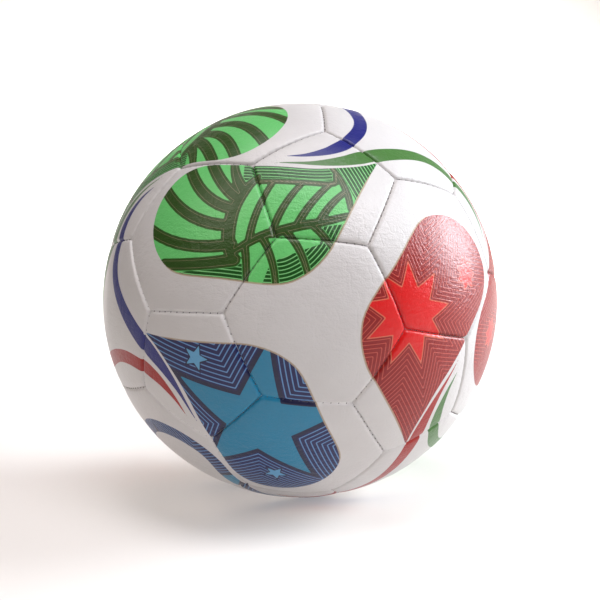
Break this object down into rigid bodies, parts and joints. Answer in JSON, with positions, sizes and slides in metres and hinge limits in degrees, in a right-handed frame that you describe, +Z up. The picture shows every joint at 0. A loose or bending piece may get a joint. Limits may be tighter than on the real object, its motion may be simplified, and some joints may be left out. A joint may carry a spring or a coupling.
{
  "type": "soccer ball",
  "caption": "Inflated soccer ball of sewn hexagon and pentagon panels with printed colour swirls, over foam, cloth and a rubber bladder with a needle valve.",
  "frame": {"origin": "the ball's centre", "axes": "+Z up as the ball lies in its rest pose, the front hexagon's middle at -Y, +Y out through the valve and its needle hole"},
  "size_m": [0.22, 0.22, 0.22],
  "materials": {
    "cover_white": "white synthetic leather, satin gloss, fine grain, printed in part",
    "cover_green": "synthetic leather printed green and dark olive, satin gloss",
    "cover_red": "synthetic leather printed red, satin gloss",
    "cover_blue": "synthetic leather printed blue and navy, satin gloss",
    "foam": "closed-cell foam, matt",
    "cloth": "plain woven polyester and cotton",
    "needle_thread": "twisted polyester, waxed, dark grey",
    "bobbin_thread": "twisted polyester, waxed, off-white",
    "bladder_rubber": "butyl rubber, smooth and matt",
    "patch_rubber": "bonded rubber sheet, matt",
    "valve_rubber": "moulded rubber, satin",
    "core_rubber": "moulded silicone rubber, satin"
  },
  "bodies": {
    "ball": {"hexagon_panel_1": "cover_white", "hexagon_panel_2": "cover_white", "hexagon_panel_3": "cover_white", "hexagon_panel_4": "cover_white", "hexagon_panel_5": "cover_white", "hexagon_panel_6": "cover_white", "hexagon_panel_7": "cover_white", "hexagon_panel_8": "cover_white", "hexagon_panel_9": "cover_white", "hexagon_panel_10": "cover_white", "hexagon_panel_11": "cover_white", "hexagon_panel_12": "cover_white", "hexagon_panel_13": "cover_white", "hexagon_panel_14": "cover_white", "hexagon_panel_15": "cover_white", "hexagon_panel_16": "cover_white", "hexagon_panel_17": "cover_white", "hexagon_panel_18": "cover_white", "hexagon_panel_19": "cover_white", "valve_panel": "cover_white", "pentagon_panel_1": "cover_green", "pentagon_panel_2": "cover_green", "pentagon_panel_3": "cover_green", "pentagon_panel_4": "cover_green", "pentagon_panel_5": "cover_red", "pentagon_panel_6": "cover_red", "pentagon_panel_7": "cover_red", "pentagon_panel_8": "cover_red", "pentagon_panel_9": "cover_blue", "pentagon_panel_10": "cover_blue", "pentagon_panel_11": "cover_blue", "pentagon_panel_12": "cover_blue", "hexagon_foam": "foam", "valve_panel_foam": "foam", "pentagon_foam": "foam", "hexagon_cloth": "cloth", "valve_panel_cloth": "cloth", "pentagon_cloth": "cloth", "needle_thread": "needle_thread", "bobbin_thread": "bobbin_thread", "bladder": "bladder_rubber", "balance_patch": "patch_rubber", "valve_patch": "patch_rubber", "valve_housing": "valve_rubber"},
    "valve_core": {"valve_core": "core_rubber"}
  },
  "joints": [
    {"name": "valve_core_pull", "type": "slide", "parent": "ball", "child": "valve_core", "axis": [0, 1, 0], "range_m": [0, 0.02]}
  ]
}
